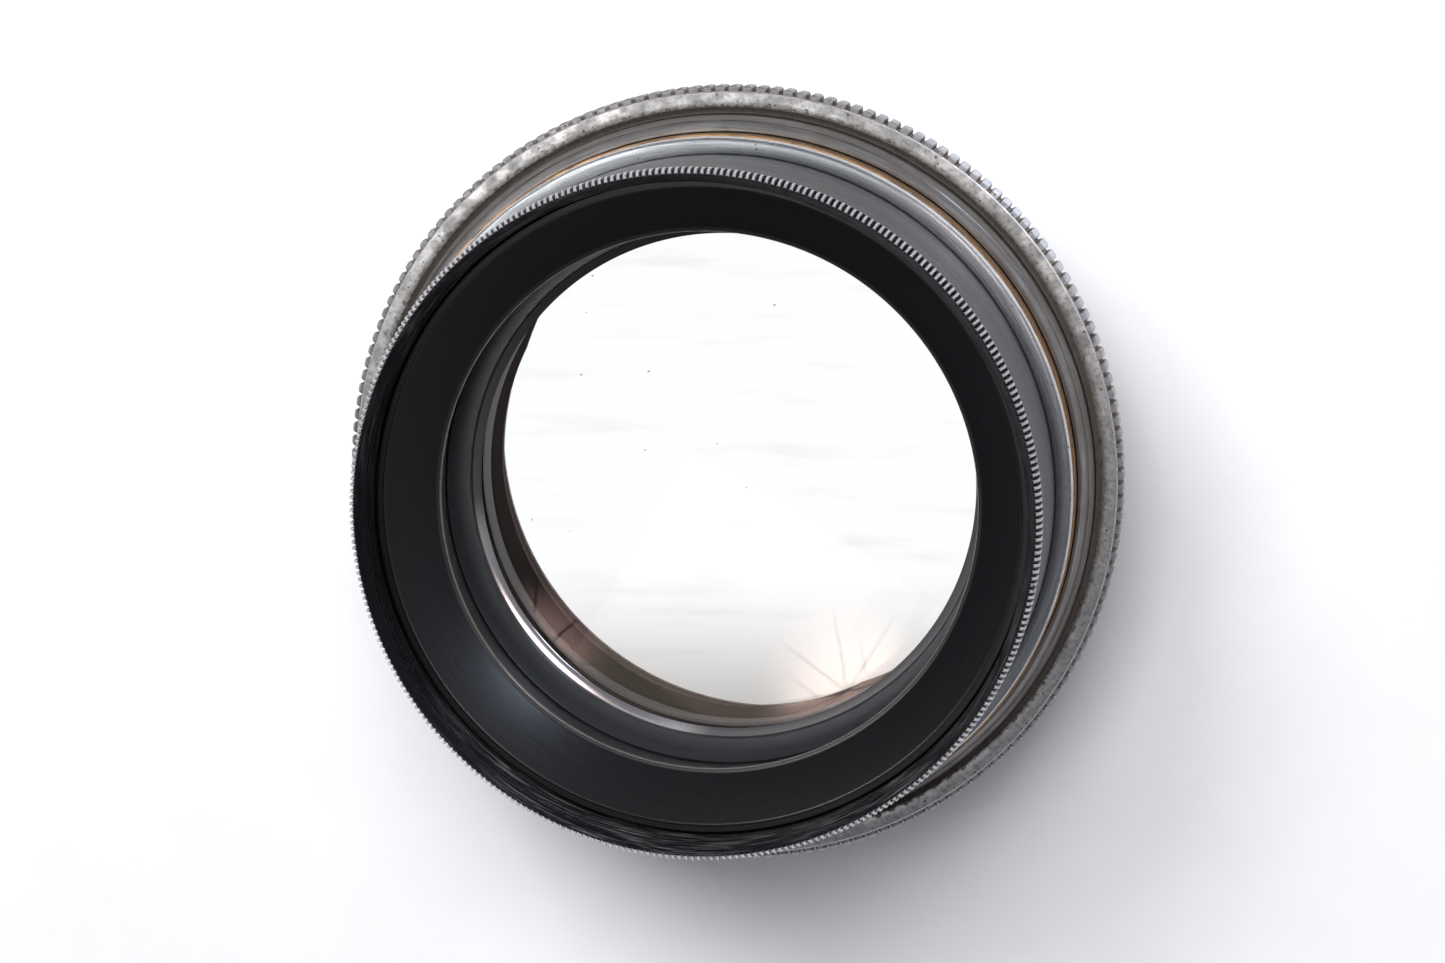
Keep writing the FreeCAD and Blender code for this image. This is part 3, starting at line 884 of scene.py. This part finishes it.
# %% Worn black ring
tree, shader = begin_finish("worn_black_ring", Specular_IOR_Level=0.36)
spot = use_group(tree, lathe_place)
BEVEL_FALL = 0.72
over_bevel = reckon(tree, "MAXIMUM", reckon(tree, "SUBTRACT", spot["Height"], ring_high - 0.62), 0.0)
crest_level = reckon(tree, "MULTIPLY_ADD", over_bevel, BEVEL_FALL, spot["Radius"])
crest = rescale(tree, crest_level, tip_r - 0.11, tip_r - 0.03)
below_lip = rescale(tree, spot["Height"], ring_high - 0.05, ring_high - 0.14)
uneven = patchy(tree, 1.1, 0.22, 0.46)
worn = times(tree, times(tree, crest, below_lip), uneven)
inside = use_group(tree, band, Value=spot["Radius"], Low=25.30, High=26.06, Soft=0.02)["Mask"]
streaks = tool_lines(tree, 6.0, 7.0)
scuffed_side = patchy(tree, 0.05, 0.42, 0.60)
scuffed = times(tree, rescale(tree, streaks, 0.50, 0.95), scuffed_side)
scuffs = times(tree, inside, times(tree, scuffed, 0.22))
bare = reckon(tree, "MAXIMUM", worn, scuffs)
feed(shader, "Base Color", blend_colours(tree, bare, (0.006, 0.006, 0.0075, 1), (0.62, 0.62, 0.63, 1)))
feed(shader, "Metallic", bare)
feed(shader, "Roughness", rescale(tree, streaks, 0.0, 1.0, 0.30, 0.48))
emboss(tree, shader, streaks, 0.0015)

# %% [markdown]
# ### Black paint on the dish
#
# The dish was sprayed after turning, so the finest lines still show through a satin film.  Its
# rolled inner edge is rubbed, which is what draws the thin bright line round the glass.

# %% Satin black dish
tree, shader = begin_finish("satin_black_dish")
spot = use_group(tree, lathe_place)
lip = use_group(tree, band, Value=spot["Radius"], Low=21.0, High=21.18, Soft=0.02)["Mask"]
rubbed = patchy(tree, 0.5, 0.30, 0.62)
bare = times(tree, lip, reckon(tree, "MULTIPLY_ADD", rubbed, 0.40, 0.35))
lines = tool_lines(tree, 9.0, 1.5)
film = blend_colours(tree, lines, (0.0032, 0.0034, 0.0042, 1), (0.0050, 0.0053, 0.0064, 1))
feed(shader, "Base Color", blend_colours(tree, bare, film, (0.36, 0.35, 0.32, 1)))
feed(shader, "Metallic", bare)
feed(shader, "Roughness", rescale(tree, lines, 0.0, 1.0, 0.26, 0.32))
emboss(tree, shader, lines, 0.0006)

# %% [markdown]
# ### Black inside the cell
#
# The cell and its ring are blackened too, but nobody polished them: they are duller, with coarse
# tool marks.  The ring's rounded inner lip, which presses on the glass, is bare and polished, but its
# bright metal is painted on only round the south-west side, where a lamp's highlight falls, and
# elsewhere the lip stays almost black, so that bright crescent is partly a painted highlight.

# %% Dull black cell
tree, shader = begin_finish("dull_black_cell", Specular_IOR_Level=0.30)
lines = tool_lines(tree, 3.2, 1.6)
dark = blend_colours(tree, lines, (0.010, 0.010, 0.011, 1), (0.022, 0.022, 0.025, 1))
feed(shader, "Base Color", dark)
feed(shader, "Roughness", rescale(tree, lines, 0.0, 1.0, 0.46, 0.60))
emboss(tree, shader, lines, 0.004)

# %% Black ring with a bare lip
tree, shader = begin_finish("black_ring_bare_lip")
spot = use_group(tree, lathe_place)
lines = tool_lines(tree, 3.2, 1.6)
inner_edge = rescale(tree, spot["Radius"], RETAINER_BORE_R + 0.02, RETAINER_BORE_R - 0.03)
# Painted highlight: the lip is bare bright metal only round the south-west side, where a lamp's reflection
# falls; elsewhere it stays nearly black.
south_west = times(tree, reckon(tree, "ADD", spot["East"], spot["North"]), -math.sqrt(0.5))
highlight_side = rescale(tree, south_west, 0.74, 0.94, 0.06, 1.0)
lip = times(tree, inner_edge, highlight_side)
dark = blend_colours(tree, lines, (0.020, 0.021, 0.024, 1), (0.030, 0.032, 0.036, 1))
feed(shader, "Base Color", blend_colours(tree, lip, dark, (0.55, 0.55, 0.56, 1)))
feed(shader, "Metallic", lip)
feed(shader, "Roughness", rescale(tree, lip, 0.0, 1.0, 0.38, 0.14))
emboss(tree, shader, lines, 0.003)

# %% [markdown]
# ### Satin barrel
#
# The barrel was turned and then rubbed with fine abrasive while it spun.  Two sizes of line lie
# over one another: broad tonal bands and hair lines.

# %% Satin barrel
tree, shader = begin_finish("satin_barrel_metal", Metallic=1.0)
broad = tool_lines(tree, 1.6, 1.2)
hair = tool_lines(tree, 11.0, 9.0)
both = reckon(tree, "MULTIPLY_ADD", broad, 0.6, times(tree, hair, 0.4))
satin = blend_colours(tree, both, (0.085, 0.088, 0.095, 1), (0.19, 0.195, 0.21, 1))
spot = use_group(tree, lathe_place)
# Painted shade: the barrel's colour darkens towards its top, under the front ring.
shade_under_front_ring = rescale(tree, spot["Height"], collar_high + 1.0, barrel_high)
feed(shader, "Base Color", blend_colours(tree, shade_under_front_ring, satin, (0.034, 0.031, 0.034, 1)))
feed(shader, "Roughness", rescale(tree, both, 0.0, 1.0, 0.42, 0.30))
emboss(tree, shader, hair, 0.0022)

# %% [markdown]
# ### Bright collar
#
# The collar is plated and bright, slightly blue, with a few pits where the plating has lifted.

# %% Bright collar
tree, shader = begin_finish("bright_collar_metal", Metallic=1.0)
hair = tool_lines(tree, 8.0, 6.0)
pits = speckled(tree, 1.6, 0.22, 0.22)
clean = blend_colours(tree, hair, (0.20, 0.225, 0.24, 1), (0.38, 0.42, 0.44, 1))
spot = use_group(tree, lathe_place)
edge = rescale(tree, spot["Radius"], collar_r - 0.24, collar_r - 0.12)
polished = blend_colours(tree, edge, clean, (0.80, 0.82, 0.83, 1))
feed(shader, "Base Color", blend_colours(tree, pits, polished, (0.16, 0.13, 0.11, 1)))
feed(shader, "Roughness", rescale(tree, hair, 0.0, 1.0, 0.36, 0.24))
under = emboss(tree, shader, hair, 0.0018)
emboss(tree, shader, opposite(tree, pits), 0.010, 1.0, under)

# %% [markdown]
# ### Brass
#
# Old bare brass is brown rather than yellow, and brightest where the thread has been rubbed.

# %% Dull brass
tree, shader = begin_finish("dull_brass", Metallic=1.0)
hair = tool_lines(tree, 7.0, 5.0)
tarnish = patchy(tree, 0.45, 0.38, 0.66)
rubbed = blend_colours(tree, hair, (0.36, 0.20, 0.08, 1), (0.58, 0.35, 0.15, 1))
feed(shader, "Base Color", blend_colours(tree, tarnish, rubbed, (0.24, 0.155, 0.095, 1)))
feed(shader, "Roughness", rescale(tree, tarnish, 0.0, 1.0, 0.30, 0.52))
emboss(tree, shader, hair, 0.003)

# %% [markdown]
# ### Machined alloy
#
# The inner ring and the base are bare alloy with plain tool lines.  Grease and dust have gathered
# in the gutter at the inner ring's foot, and thin out upwards.

# %% Machined alloy
GUTTER_Z = grip_high - 0.58
GUTTER_R = 29.72
tree, shader = begin_finish("machined_alloy_metal")
spot = use_group(tree, lathe_place)
hair = tool_lines(tree, 5.5, 3.0)
smudge = patchy(tree, 0.35, 0.35, 0.65)
bright = blend_colours(tree, hair, (0.13, 0.128, 0.125, 1), (0.27, 0.265, 0.26, 1))
soiled = blend_colours(tree, times(tree, smudge, 0.45), bright, (0.11, 0.095, 0.08, 1))
foot = use_group(tree, band, Value=spot["Height"], Low=GUTTER_Z - 1, High=helicoid_high - 1.10,
                 Soft=0.70)["Mask"]
outer_side = rescale(tree, spot["Radius"], 28.40, 28.70)
caught = rescale(tree, tool_lines(tree, 3.0, 5.0), 0.15, 0.65)
grime = times(tree, times(tree, foot, outer_side), caught)
feed(shader, "Base Color", blend_colours(tree, grime, soiled, (0.085, 0.070, 0.060, 1)))
feed(shader, "Metallic", rescale(tree, grime, 0.0, 1.0, 1.0, 0.1))
feed(shader, "Roughness", rescale(tree, hair, 0.0, 1.0, 0.40, 0.28))
emboss(tree, shader, hair, 0.004)

# %% [markdown]
# ### Worn nickel on the grip
#
# Decades of hands have polished the crests of the knurl.  Its valleys are painted dark brown, both
# for dirt and as painted shade between the studs.  The face is dull and mottled with small
# corrosion pits, brown near the gutter.

# %% Worn nickel
tree, shader = begin_finish("worn_nickel")
spot = use_group(tree, lathe_place)
cloud = patchy(tree, 0.55, 0.34, 0.68)
fine_cloud = patchy(tree, 2.6, 0.42, 0.66)
hair = tool_lines(tree, 5.0, 5.0)
pits = speckled(tree, 2.4, 0.34, 0.45)
bright = blend_colours(tree, hair, (0.40, 0.425, 0.42, 1), (0.58, 0.61, 0.605, 1))
dull = blend_colours(tree, cloud, bright, (0.35, 0.37, 0.365, 1))
stained = blend_colours(tree, times(tree, fine_cloud, 0.50), dull, (0.13, 0.135, 0.125, 1))
pitted = blend_colours(tree, times(tree, pits, 0.8), stained, (0.09, 0.08, 0.07, 1))
ragged = patchy(tree, 1.3, 0.36, 0.64)
gutter_reach = reckon(tree, "MULTIPLY_ADD", ragged, 0.45, GUTTER_R)
gutter_side = rescale(tree, reckon(tree, "SUBTRACT", spot["Radius"], gutter_reach), 0.06, -0.10)
inner_grime = times(tree, gutter_side, rescale(tree, spot["Height"], 22.0, 22.5))
# The knurl's grooves are painted dark brown: dirt, and painted shade between the studs.
round_phase = times(tree, reckon(tree, "ARCTAN2", spot["North"], spot["East"]), STUDS)
between_studs = rescale(tree, reckon(tree, "COSINE", round_phase), -0.10, 0.70)
row_phase = times(tree, reckon(tree, "SUBTRACT", spot["Height"], knurl_low),
                   2 * math.pi / row_height)
between_rows = rescale(tree, reckon(tree, "COSINE", row_phase), 0.45, 0.90)
under_rim = rescale(tree, spot["Height"], knurl_high - 0.20, knurl_high - 0.30)
in_groove = reckon(tree, "MAXIMUM", between_studs, times(tree, between_rows, under_rim))
on_knurl = use_group(tree, band, Value=spot["Radius"], Low=foot_r - 0.03, High=32.0, Soft=0.02)["Mask"]
below_face = rescale(tree, spot["Height"], knurl_high + 0.05, knurl_high + 0.01)
valley_dirt_and_shade = times(tree, times(tree, in_groove, on_knurl), below_face)
# Here grime carries both the gutter's dirt and the grooves' painted shade.
grime = reckon(tree, "MAXIMUM", times(tree, inner_grime, 0.85), valley_dirt_and_shade)
soiled = blend_colours(tree, grime, pitted, (0.075, 0.052, 0.040, 1))
crest = rescale(tree, spot["Radius"], grip_r - 0.26, grip_r - 0.10, 0.0, 0.6)
edge = use_group(tree, band, Value=spot["Radius"], Low=foot_r - 0.11, High=foot_r + 0.1, Soft=0.03)["Mask"]
on_edge = times(tree, edge, rescale(tree, spot["Height"], knurl_high + 0.04, knurl_high + 0.08))
rubbed = reckon(tree, "MAXIMUM", crest, on_edge)
clear_of_dirt_and_shade = times(tree, rubbed, opposite(tree, valley_dirt_and_shade))
feed(shader, "Base Color", blend_colours(tree, clear_of_dirt_and_shade, soiled, (0.82, 0.81, 0.80, 1)))
feed(shader, "Metallic", rescale(tree, grime, 0.0, 1.0, 1.0, 0.15))
feed(shader, "Roughness", rescale(tree, cloud, 0.0, 1.0, 0.36, 0.50))
under = emboss(tree, shader, hair, 0.003)
emboss(tree, shader, opposite(tree, pits), 0.012, 1.0, under)

# %% [markdown]
# ### The tube and the small parts
#
# The tube is satin outside and blackened in its bore, where stray light would spoil the picture.
# The small parts are steel, bronze and foil, each with its own fine lines.

# %% Nose tube
tree, shader = begin_finish("nose_tube_metal", Specular_IOR_Level=0.0)
spot = use_group(tree, lathe_place)
blackened = rescale(tree, spot["Radius"], NOSE_BORE_R + 0.10, NOSE_BORE_R + 0.02)
hair = tool_lines(tree, 7.0, 5.0)
rubs = patchy(tree, 0.3, 0.4, 0.7)
metal = blend_colours(tree, hair, (0.50, 0.50, 0.51, 1), (0.70, 0.70, 0.71, 1))
dulled = blend_colours(tree, times(tree, rubs, 0.4), metal, (0.33, 0.33, 0.33, 1))
feed(shader, "Base Color", blend_colours(tree, blackened, dulled, (0.062, 0.044, 0.040, 1)))
feed(shader, "Metallic", opposite(tree, blackened))
satin = rescale(tree, hair, 0.0, 1.0, 0.42, 0.30)
duller = reckon(tree, "SUBTRACT", 0.62, satin)
feed(shader, "Roughness", reckon(tree, "MULTIPLY_ADD", blackened, duller, satin))
outside = opposite(tree, blackened)
emboss(tree, shader, times(tree, hair, outside), 0.003)


# %% Steel, bronze and foil
def plain_metal(name, dark, light, rough, per_mm=3.0):
    """A small part's bare metal: cloudy tones and fine tool lines."""
    tree, shader = begin_finish(name, Metallic=1.0)
    hair = tool_lines(tree, per_mm, 4.0)
    cloud = patchy(tree, 1.2, 0.35, 0.7)
    tone = reckon(tree, "MULTIPLY_ADD", hair, 0.5, times(tree, cloud, 0.5))
    feed(shader, "Base Color", blend_colours(tree, tone, light, dark))
    feed(shader, "Roughness", rescale(tree, tone, 0.0, 1.0, rough, rough + 0.15))
    emboss(tree, shader, hair, 0.003)


plain_metal("screw_steel_metal", (0.20, 0.20, 0.21, 1), (0.42, 0.42, 0.43, 1), 0.32)
plain_metal("bronze_metal", (0.28, 0.16, 0.08, 1), (0.52, 0.34, 0.18, 1), 0.38)
plain_metal("foil_metal", (0.55, 0.55, 0.56, 1), (0.82, 0.82, 0.83, 1), 0.20)

# %% [markdown]
# ### Coated glass
#
# The front element has a thin film on it, a fraction of a wavelength thick, which tints its
# reflections a little brown.  The rear element is coated better and mirrors far less, so the lamps
# show sharply once and not as a heap of ghosts.  A few grains of dust sit on both.

# %% Coated glass
for glass_name, mirrored_share in (("coated_glass_front", 1.0), ("coated_glass_rear", 0.10)):
    tint = (mirrored_share, mirrored_share, mirrored_share, 1)
    tree, shader = begin_finish(glass_name, Transmission_Weight=1.0, Roughness=0.0, IOR=1.52,
                                Thin_Film_Thickness=86.0, Thin_Film_IOR=1.38, Specular_Tint=tint)
    dust = speckled(tree, 0.35, 0.05, 0.5)
    feed(shader, "Base Color", blend_colours(tree, dust, (1.0, 1.0, 1.0, 1), (0.20, 0.20, 0.22, 1)))

# %% [markdown]
# ## Dressing the pieces
#
# Each piece gets its finish here, in one table, so that it is easy to see which metal is where.

# %% Which finish each piece has
WEARS = {
    "front_ring_knurled": "worn_black_ring",
    "dished_mask_turned": "satin_black_dish",
    "barrel_tube": "satin_barrel_metal",
    "collar_bright": "bright_collar_metal",
    "brass_sleeve_turned": "dull_brass",
    "helicoid_ring_turned": "machined_alloy_metal",
    "knurled_grip": "worn_nickel",
    "nosepiece_tube": "nose_tube_metal",
    "lens_cell_turned": "dull_black_cell",
    "lens_retainer_turned": "black_ring_bare_lip",
    "crown_lens_polished": "coated_glass_front",
    "flint_lens_polished": "coated_glass_rear",
    "nosepiece_baffle": "dull_black_cell",
    "base_flange": "machined_alloy_metal",
    "guide_keys": "screw_steel_metal",
    "key_screws": "screw_steel_metal",
    "thrust_washer": "bronze_metal",
    "retaining_ring": "dull_black_cell",
    "ring_lock_screw": "screw_steel_metal",
    "stop_screw": "screw_steel_metal",
    "foil_spacers": "foil_metal",
}
for piece_name, finish in WEARS.items():
    mesh = bpy.data.objects[piece_name].data
    mesh.materials.clear()
    mesh.materials.append(FINISHES[finish])
print(len(WEARS), "pieces dressed in", len(FINISHES), "finishes")

# %% [markdown]
# ## The table
#
# The head stands on a pale table.  Light can't fall on the table through the lenses in a render
# without a very long wait, because glass bends it, so a small glowing disc lies on the table
# inside the tube and takes the place of that light.

# %% Table and the glow under the lenses
TABLE_SIZE = 4.0             # metres
TABLE_GAP = 0.00002          # metres, so that the tube's end and the table don't share a plane
bpy.ops.object.select_all(action="DESELECT")
bpy.ops.mesh.primitive_plane_add(size=TABLE_SIZE, location=(0, 0, -TABLE_GAP))
table = bpy.context.object
table.name = "table"
tree, shader = begin_finish("pale_table", Roughness=0.55)
smear = patchy(tree, 0.02, 0.35, 0.75)
feed(shader, "Base Color", blend_colours(tree, smear, (0.93, 0.93, 0.94, 1), (0.86, 0.855, 0.875, 1)))
table.data.materials.append(FINISHES["pale_table"])
table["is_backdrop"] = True

bpy.ops.object.select_all(action="DESELECT")
bpy.ops.mesh.primitive_circle_add(vertices=128, radius=(NOSE_BORE_R - 0.1) * MM, fill_type="NGON",
                                  location=(0, 0, 0.05 * MM))
glow = bpy.context.object
glow.name = "glow_on_table"
tree, shader = begin_finish("glow", Emission_Strength=1.03)
table_point = put(tree, "ShaderNodeTexCoord").outputs["Object"]
stretched = put(tree, "ShaderNodeMapping", {"Vector": table_point, "Scale": (55, 420, 1)}).outputs[0]
wiped = put(tree, "ShaderNodeTexNoise", {"Vector": stretched, "Scale": 1.0, "Detail": 5.0}).outputs[0]
streak = rescale(tree, wiped, 0.50, 0.85)
clean = blend_colours(tree, streak, (1.0, 1.0, 1.0, 1), (0.84, 0.85, 0.85, 1))
# Painted shadow: the glow darkens towards the front (-Y), where the head's shadow lies on the table seen
# through the lenses.
front = put(tree, "ShaderNodeSeparateXYZ", {0: table_point}).outputs["Y"]
painted_shadow_on_glow = rescale(tree, front, -0.010, -0.030)
feed(shader, "Emission Color", blend_colours(tree, painted_shadow_on_glow, clean, (0.37, 0.365, 0.36, 1)))
shader.inputs["Base Color"].default_value = (0, 0, 0, 1)
shader.inputs["Specular IOR Level"].default_value = 0.0
glow.data.materials.append(FINISHES["glow"])
glow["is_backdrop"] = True

# %% [markdown]
# ## The lights
#
# Two soft panels high behind light the table and throw the shadow to the front.  What bright
# metal shows, though, is a picture of what stands round it, so the other lights are there only to
# be mirrored: two white umbrellas, which show in the glass as pale patches with eight ribs, a
# pale ceiling over the flat faces, and a window low at the back right, which gives the black dish
# its sheen on the far side.  A light's own settings say which kind of ray may see it.

# %% Panels, umbrellas, ceiling and window
def area_light(name, azimuth, height_angle, distance_mm, size_mm, power, colour, shape):
    """A soft light that faces the lens, placed by its bearing and its angle above the table."""
    data = bpy.data.lights.new(name, "AREA")
    data.shape = shape
    data.size = size_mm * MM
    data.energy = power
    data.color = colour
    lamp = bpy.data.objects.new(name, data)
    bpy.context.scene.collection.objects.link(lamp)
    bearing, up_angle = math.radians(azimuth), math.radians(height_angle)
    away = Vector((math.cos(bearing) * math.cos(up_angle), math.sin(bearing) * math.cos(up_angle),
                   math.sin(up_angle)))
    lens_front = Vector((0, 0, crown_high * MM))
    lamp.location = lens_front + away * distance_mm * MM
    lamp.rotation_euler = (-away).to_track_quat("-Z", "Y").to_euler()
    return lamp


RIBS = 8


def add_ribs(lamp):
    """Draws an umbrella's ribs on a round light that fades towards its rim."""
    data = lamp.data
    data.use_nodes = True
    tree = data.node_tree
    glow = tree.nodes["Emission"]
    across = put(tree, "ShaderNodeSeparateXYZ",
                 {0: put(tree, "ShaderNodeTexCoord").outputs["UV"]}).outputs
    side = reckon(tree, "SUBTRACT", across["X"], 0.5)
    rise = reckon(tree, "SUBTRACT", across["Y"], 0.5)
    turn = reckon(tree, "ARCTAN2", rise, side)
    reach = reckon(tree, "SQRT", reckon(tree, "MULTIPLY_ADD", side, side,
                                        times(tree, rise, rise)))
    off_rib = reckon(tree, "ABSOLUTE", reckon(tree, "SINE", times(tree, turn, RIBS / 2)))
    gap = times(tree, off_rib, reach)
    cloth = rescale(tree, gap, 0.020, 0.050, 0.10, 1.0)
    fade = rescale(tree, reach, 0.50, 0.10, 0.0, 1.0)
    tree.links.new(times(tree, cloth, fade), glow.inputs["Strength"])


panels = [
    area_light("panel_behind", 76, 68, 620, 200, 2.5, (1.0, 1.0, 1.0), "SQUARE"),
    area_light("panel_left", 116, 55, 620, 220, 2.15, (0.98, 0.98, 1.0), "SQUARE"),
]
for lamp in panels:
    lamp.visible_glossy = False
    lamp.visible_transmission = False
mirrored = [
    area_light("umbrella_back", 148, 63.6, 600, 240, 2.0, (1.0, 0.90, 0.88), "DISK"),
    area_light("umbrella_near", 40, 72, 600, 200, 1.05, (1.0, 0.80, 0.77), "DISK"),
    area_light("ceiling", 150, 79, 600, 260, 0.26, (1.0, 1.0, 1.0), "SQUARE"),
    area_light("window", 45, 28, 700, 180, 1.3, (0.70, 0.80, 1.0), "SQUARE"),
]
add_ribs(mirrored[0])
add_ribs(mirrored[1])
for lamp in mirrored:
    lamp.visible_diffuse = False

world = bpy.data.worlds.new("sky")
world.use_nodes = True
bpy.context.scene.world = world
tree = world.node_tree
background = tree.nodes["Background"]
direction = put(tree, "ShaderNodeTexCoord").outputs["Generated"]
upward = put(tree, "ShaderNodeSeparateXYZ", {0: direction}).outputs["Z"]
gradient = rescale(tree, upward, 0.25, 0.75)
seen_sky = blend_colours(tree, gradient, (0.10, 0.097, 0.115, 1), (0.27, 0.265, 0.29, 1))
to_camera = put(tree, "ShaderNodeLightPath").outputs["Is Camera Ray"]
tree.links.new(blend_colours(tree, to_camera, seen_sky, (0.93, 0.93, 0.95, 1)), background.inputs["Color"])

bpy.context.scene.view_settings.view_transform = "Standard"

# %% [markdown]
# ## The size, and the end
#
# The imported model's box and the box of the pieces made here are written down side by side, so
# that they can be compared.

# %% Sizes and finish
boxes = {"cad": cad_box, "visual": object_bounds()}
for name, box in boxes.items():
    print(name, [round(v * 1000, 3) for v in (box[1] - box[0])], "mm")
